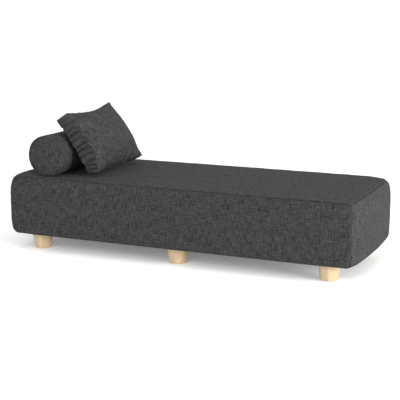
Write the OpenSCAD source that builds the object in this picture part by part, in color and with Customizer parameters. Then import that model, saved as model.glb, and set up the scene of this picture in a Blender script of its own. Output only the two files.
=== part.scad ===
// Daybed: a fully upholstered block on six turned legs, with a loose bolster and a loose box pillow.
// +X runs from the head end to the foot end, -Y is the front, +Z is up.
// The origin is on the floor, under the middle of the block. Units are millimetres.

/* [Block] */
// Overall length of the upholstered block, head end to foot end
bed_length = 2000; // [1900:10:2200]
// Overall depth of the block, front to back
bed_depth = 800; // [760:10:1000]
// Height of the block without its legs
block_height = 335; // [310:5:380]
// Radius of the block's rounded edges
edge_radius = 24; // [14:1:24]

/* [Legs] */
// Height of the block's underside above the floor
leg_height = 92; // [60:1:150]
// Leg diameter at the top
leg_top_d = 120; // [80:1:130]
// Leg diameter at the foot
leg_foot_d = 94; // [78:1:120]
// Distance from the block's ends to the outer legs' centres
leg_end_inset = 140; // [120:5:200]
// Distance from the block's front and back to the legs' centres
leg_side_inset = 105; // [95:5:140]

/* [Bolster] */
// Diameter of the bolster
bolster_d = 230; // [180:2:240]
// Length of the bolster
bolster_length = 700; // [500:10:740]
// Distance from the head end to the bolster's axis
bolster_from_head = 208; // [150:1:212]

/* [Pillow] */
// Width of the box pillow, along its lower edge
pillow_width = 558; // [400:2:600]
// Height of the box pillow, along its leaning edge
pillow_height = 372; // [330:2:400]
// Width of the boxing strip between the two faces
pillow_boxing = 75; // [60:1:76]
// Crown of the front face beyond the boxing
pillow_front_crown = 48; // [20:1:60]
// Crown of the back face, which is pressed flatter by the bolster
pillow_back_crown = 12; // [6:1:14]
// Lean of the pillow, back from upright
pillow_lean = 31.5; // [28:0.5:32]
// Turn of the pillow about the vertical
pillow_turn = 2.7; // [0:0.1:5]
// Distance from the head end to the pillow's centre
pillow_from_head = 365; // [365:1:420]

/* [Frame] */
// Thickness of the frame's boards
board = 22; // [16:1:28]
// Length of each leg block along the frame, past the leg's centre
block_reach = 52; // [45:1:60]
// Thickness of the leg blocks
leg_block_t = 40; // [32:1:50]
// Number of zigzag springs
spring_count = 10; // [6:1:12]
// Number of straight runs in each zigzag spring
spring_runs = 13; // [11:2:19]
// Diameter of the spring wire
spring_wire = 3.8; // [3:0.1:4.2]

/* [Layers] */
// Thickness of the cover cloth
cloth = 1.2; // [0.8:0.1:2]
// Thickness of the wadding under the cloth
wadding_t = 4; // [3:0.5:8]
// Thickness of the foam round the frame
side_foam = 25; // [15:1:40]
// Thickness of the soft top layer of foam
topper_t = 30; // [20:1:50]
// Thickness of the firm foam core
core_t = 110; // [80:5:120]
// Thickness of the felt over the springs
felt_t = 3; // [2:0.5:5]

/* [Hidden] */
$fn = 48;

// Free play between two layers whose curved faces would otherwise touch
gap = 0.2;
// A length longer than the whole object, for cutting shapes
far = 3000;

bed_top = leg_height + block_height;
wadding_inset = cloth + gap;
foam_inset = wadding_inset + wadding_t + gap;
frame_inset = foam_inset + side_foam + gap;
frame_length = bed_length - 2 * frame_inset;
frame_depth = bed_depth - 2 * frame_inset;
// Height of the top panel's seam: the middle of the rounded top edge
seam_z = bed_top - edge_radius * (1 - sqrt(0.5));
// Width of the cover's turned-under hem on the block's underside
hem = 52;

core_top = bed_top - foam_inset - topper_t;
core_bottom = core_top - core_t;
felt_bottom = core_bottom - felt_t;
clip_h = 6.4;
rail_bottom = leg_height + cloth;
rail_top = felt_bottom - clip_h;

leg_x = bed_length / 2 - leg_end_inset;
leg_y = bed_depth / 2 - leg_side_inset;
leg_places = [for (y = [-leg_y, leg_y]) for (x = [-leg_x, 0, leg_x]) [x, y]];
dust_cover_t = 0.8;
leg_top = leg_height - dust_cover_t;
glide_r = 35.5;
glide_t = 3;
glide_recess = 1.5;
leg_round = 4;

// Metric 8 hanger bolt and its tee nut
bolt_r = 3.9;
bolt_bore_r = 4;
bolt_in_leg = 40;
bolt_top = rail_bottom + leg_block_t - 1;
nut_r = 5;
nut_flange_r = 11;
nut_flange_t = 1.6;
nut_barrel = 12;

cross_rail_x = bed_length * 0.24;
cross_rail_bottom = rail_bottom + leg_block_t + 8;
cross_rail_top = rail_top - 40;

bolster_r = bolster_d / 2;
bolster_at = [-bed_length / 2 + bolster_from_head, 0, bed_top + 0.4 + bolster_r];
bolster_zip = [460, 165]; // length, and angle round the bolster from +X
pillow_zip = 300;

half_diagonal = norm([pillow_width, pillow_height]) / 2;
// Radius of the sphere that rises by crown over the pillow's half diagonal
function crown_radius(crown) = (half_diagonal * half_diagonal + crown * crown) / (2 * crown);
// How far a face stands out beyond the boxing, at a distance from its middle
function crown_at(crown, distance) =
    crown - crown_radius(crown) + sqrt(pow(crown_radius(crown), 2) - distance * distance);

pillow_heel = pillow_boxing / 2 + crown_at(pillow_back_crown, pillow_height / 2);
pillow_lift = (pillow_height / 2) * cos(pillow_lean) + pillow_heel * sin(pillow_lean);
pillow_at = [-bed_length / 2 + pillow_from_head, 4, bed_top + 0.4 + pillow_lift];

// ---- Shared shapes ----

// Rectangle with round corners, centred
module rounded_rect(size, r) {
    square([size[0] - 2 * r, size[1]], center = true);
    square([size[0], size[1] - 2 * r], center = true);
    for (x = [-1, 1], y = [-1, 1])
        translate([x * (size[0] / 2 - r), y * (size[1] / 2 - r)]) circle(r);
}

// Box with every edge rounded, centred
module rounded_box(size, r) {
    intersection() {
        linear_extrude(size[2], center = true) rounded_rect([size[0], size[1]], r);
        rotate([90, 0, 0]) linear_extrude(size[1], center = true) rounded_rect([size[0], size[2]], r);
        rotate([90, 0, 90]) linear_extrude(size[0], center = true) rounded_rect([size[1], size[2]], r);
    }
}

// The upholstered block, taken in by inset on every side
module block_solid(inset) {
    translate([0, 0, leg_height + block_height / 2])
        rounded_box([bed_length - 2 * inset, bed_depth - 2 * inset, block_height - 2 * inset],
                    edge_radius - inset);
}

// Everything between two heights
module slice(bottom, top) {
    translate([-far / 2, -far / 2, bottom]) cube([far, far, top - bottom]);
}

// The side of the block nearest the front (turn 0) or the back (turn 180), cut at 45 degrees
module long_side(turn, bottom, top) {
    half = [bed_length / 2, bed_depth / 2];
    rotate([0, 0, turn]) translate([0, 0, bottom]) linear_extrude(top - bottom)
        polygon([[-half[0], -half[1]], [half[0], -half[1]], [half[0] - half[1], 0], [half[1] - half[0], 0]]);
}

// The side of the block nearest the head (turn 0) or the foot (turn 180), cut at 45 degrees
module short_side(turn, bottom, top) {
    half = [bed_length / 2, bed_depth / 2];
    rotate([0, 0, turn]) translate([0, 0, bottom]) linear_extrude(top - bottom)
        polygon([[-half[0], -half[1]], [half[1] - half[0], 0], [-half[0], half[1]]]);
}

// ---- Frame ----

module wood() {
    color("burlywood") children();
}

// A board from corner to corner
module board_between(low, high) {
    wood() translate(low) cube(high - low);
}

module long_rail(side) {
    y = side * (frame_depth - board) / 2;
    board_between([-frame_length / 2, y - board / 2, rail_bottom],
                  [frame_length / 2, y + board / 2, rail_top]);
}

module end_rail(side) {
    x = side * (frame_length - board) / 2;
    half = frame_depth / 2 - board;
    board_between([x - board / 2, -half, rail_bottom], [x + board / 2, half, rail_top]);
}

module cross_rail(x) {
    half = frame_depth / 2 - board;
    board_between([x - board / 2, -half, cross_rail_bottom], [x + board / 2, half, cross_rail_top]);
}

// Block that takes a leg's tee nut; end is -1 at the head, 0 at the centre and 1 at the foot
module leg_block(end, side) {
    centre = [end * leg_x, side * leg_y];
    outer = [end * (frame_length / 2 - board), side * (frame_depth / 2 - board)];
    inner = [centre[0] - end * block_reach, centre[1] - side * block_reach];
    x = end == 0 ? [-block_reach, block_reach] : [min(outer[0], inner[0]), max(outer[0], inner[0])];
    y = [min(outer[1], inner[1]), max(outer[1], inner[1])];
    wood() difference() {
        translate([x[0], y[0], rail_bottom]) cube([x[1] - x[0], y[1] - y[0], leg_block_t]);
        translate([centre[0], centre[1], rail_bottom - 1]) cylinder(h = leg_block_t + 2, r = nut_r + 0.05);
    }
}

// Countersunk screw driven along +Y from the origin
module wood_screw(length = 60) {
    rotate([-90, 0, 0]) {
        cylinder(h = 4, r1 = 4.2, r2 = 2.1);
        cylinder(h = length, r = 2.1);
    }
}

// Screws through the long rails into the ends of the end rails and the cross rails
module frame_screws() {
    end_x = (frame_length - board) / 2;
    end_z = [rail_bottom + 60, (rail_bottom + 60 + rail_top - 30) / 2, rail_top - 30];
    cross_z = [cross_rail_bottom + 15, cross_rail_top - 15];
    color("silver") for (turn = [0, 180]) rotate([0, 0, turn]) {
        for (x = [-end_x, end_x], z = end_z)
            translate([x, -frame_depth / 2, z]) wood_screw();
        for (x = [-cross_rail_x, 0, cross_rail_x], z = cross_z)
            translate([x, -frame_depth / 2, z]) wood_screw();
    }
}

spring_span = frame_depth - board;
spring_pitch = spring_span / (spring_runs - 1);
spring_run = 34;
spring_z = rail_top + clip_h / 2;
spring_x = [for (i = [0 : spring_count - 1])
    (i - (spring_count - 1) / 2) * (frame_length - 260) / (spring_count - 1)];

// One zigzag spring: straight runs along X, joined by half turns at alternate ends
module zigzag_spring() {
    r = spring_wire / 2;
    for (i = [0 : spring_runs - 1])
        translate([0, -spring_span / 2 + i * spring_pitch, 0]) rotate([0, 90, 0])
            cylinder(h = spring_run, r = r, center = true);
    for (i = [0 : spring_runs - 2]) {
        side = i % 2 == 0 ? 1 : -1;
        translate([side * spring_run / 2, -spring_span / 2 + (i + 0.5) * spring_pitch, 0])
            rotate([0, 0, side > 0 ? -90 : 90])
                rotate_extrude(angle = 180) translate([spring_pitch / 2, 0]) circle(r);
    }
}

module zigzag_springs() {
    color("dimgray") for (x = spring_x) translate([x, 0, spring_z]) zigzag_spring();
}

// Clips on the long rails that hold the springs' end runs
module spring_clips() {
    color("gray") for (x = spring_x, side = [-1, 1]) translate([x, side * spring_span / 2, rail_top])
        difference() {
            translate([-13, -7, 0]) cube([26, 14, clip_h]);
            translate([0, 0, clip_h / 2]) rotate([0, 90, 0])
                cylinder(h = 30, r = spring_wire / 2 + 0.1, center = true);
        }
}

module spring_felt() {
    color("dimgray") translate([-frame_length / 2, -frame_depth / 2, felt_bottom])
        cube([frame_length, frame_depth, felt_t]);
}

// ---- Foam and wadding ----

module foam_slab(bottom, top) {
    color("khaki") intersection() {
        block_solid(foam_inset);
        slice(bottom, top);
    }
}

// Foam slab along the front (turn 0) or the back (turn 180), below the core
module foam_long(turn) {
    color("khaki") intersection() {
        block_solid(foam_inset);
        rotate([0, 0, turn]) translate([-far / 2, -far - frame_depth / 2 - gap, 0])
            cube([far, far, core_bottom]);
    }
}

// Foam slab across the head (turn 0) or the foot (turn 180), between the two long slabs
module foam_short(turn) {
    color("khaki") intersection() {
        block_solid(foam_inset);
        rotate([0, 0, turn]) translate([-far - frame_length / 2 - gap, -frame_depth / 2 - gap, 0])
            cube([far, frame_depth + 2 * gap, core_bottom]);
    }
}

module wadding() {
    color("white") difference() {
        block_solid(wadding_inset);
        block_solid(wadding_inset + wadding_t);
        slice(0, leg_height + foam_inset);
    }
}

// ---- Cover ----

// The whole cover, open underneath inside its hem
module cover_shell() {
    difference() {
        block_solid(0);
        block_solid(cloth);
        translate([-bed_length / 2 + hem, -bed_depth / 2 + hem, leg_height - 1])
            cube([bed_length - 2 * hem, bed_depth - 2 * hem, 10]);
    }
}

module cover_top() {
    color("dimgray") intersection() {
        cover_shell();
        slice(seam_z, bed_top + 1);
    }
}

module cover_long(turn) {
    color("dimgray") intersection() {
        cover_shell();
        long_side(turn, 0, seam_z);
    }
}

module cover_short(turn) {
    color("dimgray") intersection() {
        cover_shell();
        short_side(turn, 0, seam_z);
    }
}

// ---- Underside ----

dust_size = [bed_length - 40, bed_depth - 40];

module dust_cover() {
    color("black") difference() {
        translate([0, 0, leg_top]) linear_extrude(dust_cover_t) rounded_rect(dust_size, 12);
        for (p = leg_places) translate([p[0], p[1], leg_top - 1]) cylinder(h = 3, r = bolt_r + 1);
    }
}

staple = [11, 1, 0.6]; // crown's length, width and thickness
staple_prong = 8;

// Staple with its crown along X and its prongs pointing up
module one_staple() {
    translate([-staple[0] / 2, -staple[1] / 2, -staple[2]]) cube(staple);
    for (x = [-staple[0] / 2, staple[0] / 2 - staple[2]])
        translate([x, -staple[1] / 2, -staple[2]]) cube([staple[2], staple[1], staple_prong]);
}

module dust_cover_staples() {
    half = [frame_length / 2 - board / 2, frame_depth / 2 - board / 2];
    long_n = 26;
    short_n = 9;
    long_pitch = (2 * half[0] - 50) / (long_n - 1);
    short_pitch = (2 * half[1] - 60) / (short_n - 1);
    color("silver") translate([0, 0, leg_top]) {
        for (i = [0 : long_n - 1], side = [-1, 1])
            translate([(i - (long_n - 1) / 2) * long_pitch, side * half[1], 0]) one_staple();
        for (i = [0 : short_n - 1], side = [-1, 1])
            translate([side * half[0], (i - (short_n - 1) / 2) * short_pitch, 0])
                rotate([0, 0, 90]) one_staple();
    }
}

// ---- Legs ----

// Turned leg with a rounded foot, a recess for its glide and a blind hole for the hanger bolt
module leg(end, side) {
    foot_r = leg_foot_d / 2;
    foot_arc = [for (a = [0 : 18 : 90])
        [foot_r - leg_round * (1 - sin(a)), glide_recess + leg_round * (1 - cos(a))]];
    outline = concat([[0, glide_recess]], foot_arc,
                     [[leg_top_d / 2 - 1, leg_top - 5], [leg_top_d / 2, leg_top - 3],
                      [leg_top_d / 2 - 1, leg_top], [0, leg_top]]);
    color("wheat") translate([end * leg_x, side * leg_y, 0]) difference() {
        rotate_extrude() polygon(outline);
        cylinder(h = 2 * glide_recess, r = glide_r + 0.2);
        translate([0, 0, leg_top - bolt_in_leg - 1]) cylinder(h = bolt_in_leg + 2, r = bolt_bore_r);
    }
}

module hanger_bolts() {
    color("silver") for (p = leg_places) translate([p[0], p[1], leg_top - bolt_in_leg])
        cylinder(h = bolt_top - leg_top + bolt_in_leg, r = bolt_r);
}

module tee_nuts() {
    top = rail_bottom + leg_block_t;
    color("silver") for (p = leg_places) translate([p[0], p[1], top]) difference() {
        union() {
            cylinder(h = nut_flange_t, r = nut_flange_r);
            translate([0, 0, -nut_barrel]) cylinder(h = nut_barrel + 1, r = nut_r);
            for (a = [45 : 90 : 315]) rotate([0, 0, a]) translate([8, -1.2, -6]) cube([1.2, 2.4, 6.5]);
        }
        translate([0, 0, -nut_barrel - 1]) cylinder(h = nut_barrel + nut_flange_t + 2, r = bolt_bore_r);
    }
}

module felt_glides() {
    color("saddlebrown") for (p = leg_places) translate([p[0], p[1], 0]) cylinder(h = glide_t, r = glide_r);
}

// ---- Zip ----
// Drawn with the chain along +Z, the tape's outer face towards +Y and the middle of the chain at the origin.

tape_w = 28;
tape_t = 0.6;
chain_w = 4.6;
chain_t = 2.2;
slider_length = 10;
bail_y = 6.6; // height of the bail's bar above the back of the tape
bail_z = 3;

module zip_tape(length) {
    color("black") translate([-tape_w / 2, 0, -length / 2]) cube([tape_w, tape_t, length]);
}

module zip_chain(length) {
    color("dimgray") translate([-chain_w / 2, tape_t, -length / 2]) cube([chain_w, chain_t, length]);
}

// Slider parked at the chain's lower end, with a bail for the puller
module zip_slider(length) {
    play = 0.3;
    color("silver") translate([0, 0, -length / 2]) difference() {
        union() {
            translate([-4.5, tape_t + play, 0]) cube([9, 3.3, slider_length]);
            for (x = [-3.3, 2.1]) translate([x, 4, bail_z - 1.2]) cube([1.2, 3.7, 2.4]);
            translate([-3, bail_y, bail_z]) rotate([0, 90, 0]) cylinder(h = 6, r = 0.7);
        }
        translate([-chain_w / 2 - play, 0, -1])
            cube([chain_w + 2 * play, tape_t + chain_t + play, slider_length + 2]);
    }
}

// Puller on the slider's bail, lying along the chain
module zip_puller(length) {
    tab_r = 3.6;
    color("silver") translate([0, bail_y, bail_z - length / 2]) difference() {
        union() {
            rotate([0, 90, 0]) cylinder(h = 3.6, r = 1.9, center = true);
            translate([-1.8, -0.8, -6]) cube([3.6, 1.6, 6]);
            translate([-tab_r, -0.8, -20]) cube([2 * tab_r, 1.6, 15.5]);
            translate([0, 0, -20]) rotate([90, 0, 0]) cylinder(h = 1.6, r = tab_r, center = true);
        }
        rotate([0, 90, 0]) cylinder(h = 8, r = 0.8, center = true);
        translate([0, 0, -19.5]) rotate([90, 0, 0]) cylinder(h = 4, r = 1.5, center = true);
    }
}

// ---- Bolster ----

module in_bolster() {
    translate(bolster_at) rotate([90, 0, 0]) children();
}

module bolster_core() {
    color("khaki") in_bolster()
        cylinder(h = bolster_length - 2 * cloth, r = bolster_r - cloth - gap, center = true);
}

module bolster_cover_tube() {
    length = bolster_length - 2 * cloth;
    color("dimgray") in_bolster() difference() {
        cylinder(h = length, r = bolster_r, center = true);
        cylinder(h = length + 2, r = bolster_r - cloth, center = true);
    }
}

module bolster_cover_end(side) {
    color("dimgray") in_bolster() translate([0, 0, -side * (bolster_length - cloth) / 2])
        cylinder(h = cloth, r = bolster_r, center = true);
}

// Turns a zip so that its chain runs along the bolster, on the head side
module on_bolster() {
    translate(bolster_at) rotate([0, -bolster_zip[1], 0]) translate([bolster_r + gap, 0, 0])
        rotate([0, 90, 0]) rotate([90, 0, 0]) children();
}

// ---- Pillow ----

module in_pillow() {
    translate(pillow_at) rotate([0, -pillow_lean, pillow_turn]) children();
}

// Everything between the crowned face and a plane well behind it, taken in by inset
module crowned(side, crown, inset) {
    r = crown_radius(crown);
    depth = pillow_boxing + 40;
    translate([side * (pillow_boxing / 2 + crown), 0, 0]) rotate([0, side * 90, 0])
        rotate_extrude($fn = 96) intersection() {
            translate([0, -r]) circle(r - inset, $fn = 1440);
            translate([0, -crown - depth]) square([half_diagonal + 10, crown + depth]);
        }
}

module pillow_prism(inset) {
    cube([far, pillow_width - 2 * inset, pillow_height - 2 * inset], center = true);
}

module pillow_insert() {
    color("white") in_pillow() intersection() {
        pillow_prism(cloth + gap);
        crowned(1, pillow_front_crown, cloth + gap);
        crowned(-1, pillow_back_crown, cloth + gap);
    }
}

// One face's panel of cloth: side is 1 for the front and -1 for the back
module pillow_panel(side, crown) {
    color("dimgray") in_pillow() intersection() {
        pillow_prism(0);
        translate([side * far / 2, 0, 0]) cube(far, center = true);
        difference() {
            crowned(side, crown, 0);
            crowned(side, crown, cloth);
        }
    }
}

module pillow_boxing_strip() {
    color("dimgray") in_pillow() intersection() {
        difference() {
            pillow_prism(0);
            pillow_prism(cloth);
        }
        crowned(1, pillow_front_crown, cloth);
        crowned(-1, pillow_back_crown, cloth);
    }
}

// Puts a zip on the pillow's far side, with its chain along the leaning edge
module on_pillow() {
    in_pillow() translate([0, pillow_width / 2, 0]) children();
}

// ---- Nodes ----

long_rail(-1);  // frame_front_rail
long_rail(1);  // frame_back_rail
end_rail(-1);  // frame_head_rail
end_rail(1);  // frame_foot_rail
cross_rail(-cross_rail_x);  // cross_rail_head
cross_rail(0);  // cross_rail_centre
cross_rail(cross_rail_x);  // cross_rail_foot
leg_block(-1, -1);  // leg_block_front_head
leg_block(0, -1);  // leg_block_front_centre
leg_block(1, -1);  // leg_block_front_foot
leg_block(-1, 1);  // leg_block_back_head
leg_block(0, 1);  // leg_block_back_centre
leg_block(1, 1);  // leg_block_back_foot
frame_screws();
zigzag_springs();
spring_clips();
spring_felt();
foam_slab(core_bottom, core_top);  // foam_core
foam_slab(core_top, bed_top);  // foam_topper
foam_long(0);  // foam_front
foam_long(180);  // foam_back
foam_short(0);  // foam_head
foam_short(180);  // foam_foot
wadding();
cover_top();
cover_long(0);  // cover_front
cover_long(180);  // cover_back
cover_short(0);  // cover_head
cover_short(180);  // cover_foot
dust_cover();
dust_cover_staples();
leg(-1, -1);  // leg_front_head
leg(0, -1);  // leg_front_centre
leg(1, -1);  // leg_front_foot
leg(-1, 1);  // leg_back_head
leg(0, 1);  // leg_back_centre
leg(1, 1);  // leg_back_foot
hanger_bolts();
tee_nuts();
felt_glides();
bolster_core();
bolster_cover_tube();
bolster_cover_end(-1);  // bolster_cover_front_end
bolster_cover_end(1);  // bolster_cover_back_end
on_bolster() zip_tape(bolster_zip[0]);  // bolster_zip_tape
on_bolster() zip_chain(bolster_zip[0]);  // bolster_zip_chain
on_bolster() zip_slider(bolster_zip[0]);  // bolster_zip_slider
on_bolster() zip_puller(bolster_zip[0]);  // bolster_zip_puller
pillow_insert();
pillow_panel(1, pillow_front_crown);  // pillow_front_panel
pillow_panel(-1, pillow_back_crown);  // pillow_back_panel
pillow_boxing_strip();
on_pillow() zip_tape(pillow_zip);  // pillow_zip_tape
on_pillow() zip_chain(pillow_zip);  // pillow_zip_chain
on_pillow() zip_slider(pillow_zip);  // pillow_zip_slider
on_pillow() zip_puller(pillow_zip);  // pillow_zip_puller
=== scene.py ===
"""The daybed's visual layer: crowned upholstery, a gathered box pillow, a bolster, wooden legs and zips."""
import bpy
import math
import numpy as np
from mathutils import Matrix, Vector, noise


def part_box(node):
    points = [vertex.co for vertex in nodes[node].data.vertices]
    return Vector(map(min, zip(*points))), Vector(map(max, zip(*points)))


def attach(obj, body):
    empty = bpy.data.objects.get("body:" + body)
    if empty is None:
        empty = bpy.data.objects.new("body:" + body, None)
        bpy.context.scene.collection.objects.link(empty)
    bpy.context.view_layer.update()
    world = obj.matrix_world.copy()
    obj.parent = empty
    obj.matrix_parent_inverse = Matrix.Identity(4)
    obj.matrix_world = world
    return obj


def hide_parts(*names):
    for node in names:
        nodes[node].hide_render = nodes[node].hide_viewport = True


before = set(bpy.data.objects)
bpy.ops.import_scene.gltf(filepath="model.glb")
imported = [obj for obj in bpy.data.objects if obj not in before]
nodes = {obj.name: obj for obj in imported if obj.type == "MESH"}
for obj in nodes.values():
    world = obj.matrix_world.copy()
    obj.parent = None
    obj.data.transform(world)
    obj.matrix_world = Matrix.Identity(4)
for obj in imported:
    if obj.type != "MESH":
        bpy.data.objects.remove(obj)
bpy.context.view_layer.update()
scene = bpy.context.scene

# ---- Sizes, in metres, as in the CAD model ----
LENGTH, DEPTH, HEIGHT, LEG = 2.0, 0.8, 0.335, 0.092
HALF = np.array([LENGTH / 2, DEPTH / 2, HEIGHT / 2])
MIDDLE = np.array([0.0, 0.0, LEG + HEIGHT / 2])
TOP = LEG + HEIGHT
HEM = 0.052  # how far the cover runs in under the block
REST_GAP = 0.0004  # between a loose cushion and the block
LEG_X, LEG_Y = (-0.86, 0.0, 0.86), (-0.295, 0.295)
BOLSTER_R, BOLSTER_LEN = 0.115, 0.70
BOLSTER_AT = np.array([-HALF[0] + 0.208, 0.0, TOP + REST_GAP + BOLSTER_R])
PILLOW = np.array([0.075, 0.558, 0.372])  # boxing, width, height
CROWN_BACK = 0.012  # of the pillow's back panel
LEAN, TURN = math.radians(31.5), math.radians(2.7)
HALF_DIAGONAL = math.hypot(PILLOW[1], PILLOW[2]) / 2


def crown_at(crown, distance):
    """How far the CAD pillow's face stands out beyond its boxing, at a distance from the middle."""
    r = (HALF_DIAGONAL ** 2 + crown ** 2) / (2 * crown)
    return crown - r + np.sqrt(r * r - distance ** 2)


heel = PILLOW[0] / 2 + float(crown_at(CROWN_BACK, PILLOW[2] / 2))
PILLOW_AT = np.array([-HALF[0] + 0.365, 0.004,
                      TOP + REST_GAP + PILLOW[2] / 2 * math.cos(LEAN) + heel * math.sin(LEAN)])
PILLOW_TURN = Matrix.Rotation(TURN, 3, "Z") @ Matrix.Rotation(-LEAN, 3, "Y")
ZIP_ANGLE = math.radians(165)  # round the bolster from +X towards +Z

# ---- Camera ----
cam_data = bpy.data.cameras.new("camera")
camera = bpy.data.objects.new("camera", cam_data)
scene.collection.objects.link(camera)
camera.location = (2.376, -5.365, 1.492)
camera.rotation_euler = (math.radians(90 - 11.56), 0, math.radians(23.86))
cam_data.lens = 95.07
cam_data.sensor_width = 36
cam_data.clip_end = 900
scene.camera = camera


# ---- Mesh building ----

def smooth(a, b, x):
    """0 below a, 1 above b and smooth between."""
    t = np.clip((np.asarray(x, dtype=float) - a) / (b - a), 0, 1)
    return t * t * (3 - 2 * t)


def bump(x, width):
    """1 at 0, falling away on both sides."""
    return np.exp(-(np.asarray(x) / width) ** 2)


def ripple(points, scale, seed, octaves=2):
    """Smooth noise at each point, from about -1 to 1. scale is its wavelength along each axis."""
    scale = np.broadcast_to(np.asarray(scale, dtype=float), (3,))
    q = np.asarray(points).reshape(-1, 3) / scale + seed * np.array([17.3, 9.1, 5.7])
    out = np.array([noise.fractal(Vector(p), 0.6, 2.0, octaves) for p in q])
    return out.reshape(np.asarray(points).shape[:-1])


# Distances from a seam at which the block's meshes have their lines: close together beside it.
NEAR = (0, .0014, .0028, .0042, .0058, .0076, .0096, .0118, .0145, .018, .0225, .028, .036, .046)


def graded(half, step):
    """Places from -half to half, close together near both ends."""
    inner = half - NEAR[-1]
    middle = np.linspace(-inner, inner, max(1, round(2 * inner / step)) + 1)
    end = half - np.array(NEAR)
    return np.unique(np.round(np.concatenate([-end, middle, end]), 7))


class Patches:
    """Grids of points, sewn where they meet, with a weave map measured in metres."""

    def __init__(self):
        self.points, self.faces, self.maps, self.count = [], [], [], 0

    def grid(self, points, weave, flip=False):
        n, m = points.shape[:2]
        index = np.arange(n * m).reshape(n, m) + self.count
        quads = np.stack([index[:-1, :-1], index[1:, :-1], index[1:, 1:], index[:-1, 1:]], -1)
        if flip:
            quads = quads[..., ::-1]
        self.points.append(points.reshape(-1, 3))
        self.maps.append(weave.reshape(-1, 2))
        self.faces.append(quads.reshape(-1, 4))
        self.count += n * m

    def build(self, name, place=None, sew=1e-5):
        points = np.concatenate(self.points)
        faces = np.concatenate(self.faces)
        weave = np.concatenate(self.maps)
        corner_maps = weave[faces]
        keys = np.round(points / sew).astype(np.int64)
        _, first, back = np.unique(keys, axis=0, return_index=True, return_inverse=True)
        back = back.reshape(-1)
        quads = back[faces]
        whole = [i for i, f in enumerate(quads) if len(set(f)) >= 3]
        lists = []
        uvs = []
        for i in whole:
            f, seen = [], []
            for corner, vertex in enumerate(quads[i]):
                if vertex not in f:
                    f.append(int(vertex))
                    seen.append(corner_maps[i][corner])
            lists.append(f)
            uvs.extend(seen)
        me = bpy.data.meshes.new(name)
        me.from_pydata(points[first].tolist(), [], lists)
        layer = me.uv_layers.new(name="weave")
        layer.data.foreach_set("uv", np.asarray(uvs, dtype=np.float32).ravel())
        me.polygons.foreach_set("use_smooth", [True] * len(me.polygons))
        me.update()
        ob = bpy.data.objects.new(name, me)
        if place is not None:
            ob.matrix_world = place
        scene.collection.objects.link(ob)
        return ob


def coords(ob):
    p = np.empty(len(ob.data.vertices) * 3, dtype=np.float32)
    ob.data.vertices.foreach_get("co", p)
    return p.reshape(-1, 3).astype(float)


def set_coords(ob, p):
    ob.data.vertices.foreach_set("co", np.asarray(p, dtype=np.float32).ravel())
    ob.data.update()


def modifier(ob, kind, **settings):
    m = ob.modifiers.new(kind.lower(), kind)
    for key, value in settings.items():
        setattr(m, key, value)
    return m


def apply_all(ob):
    """Turns the piece into the mesh that its modifiers make."""
    dg = bpy.context.evaluated_depsgraph_get()
    made = bpy.data.meshes.new_from_object(ob.evaluated_get(dg), preserve_all_data_layers=True, depsgraph=dg)
    ob.modifiers.clear()
    ob.data = made


def cloth(ob, frames, pressure, cap, pinned, tension=15, bending=0.5):
    """Runs a cloth simulation on the piece, then lets no point move further than cap."""
    rest = coords(ob)
    m = ob.modifiers.new("cloth", "CLOTH")
    s = m.settings
    s.quality = 6
    s.mass = 0.3
    s.tension_stiffness = tension
    s.compression_stiffness = tension
    s.shear_stiffness = 5
    s.bending_stiffness = bending
    s.use_pressure = True
    s.uniform_pressure_force = pressure
    s.effector_weights.gravity = 0
    s.air_damping = 3
    s.vertex_group_mass = pinned
    s.pin_stiffness = 1
    m.collision_settings.use_collision = False
    m.point_cache.frame_start = 1
    m.point_cache.frame_end = frames + 1
    for f in range(1, frames + 1):
        scene.frame_set(f)
    dg = bpy.context.evaluated_depsgraph_get()
    moved = coords(ob.evaluated_get(dg))
    ob.modifiers.remove(m)
    scene.frame_set(1)
    step = moved - rest
    far = np.linalg.norm(step, axis=1, keepdims=True)
    step *= np.minimum(1, cap * np.tanh(far / cap) / np.maximum(far, 1e-9))
    set_coords(ob, rest + step)


def normals(ob):
    n = np.empty(len(ob.data.vertices) * 3, dtype=np.float32)
    ob.data.vertices.foreach_get("normal", n)
    return n.reshape(-1, 3).astype(float)


# ---- Materials ----

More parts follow.
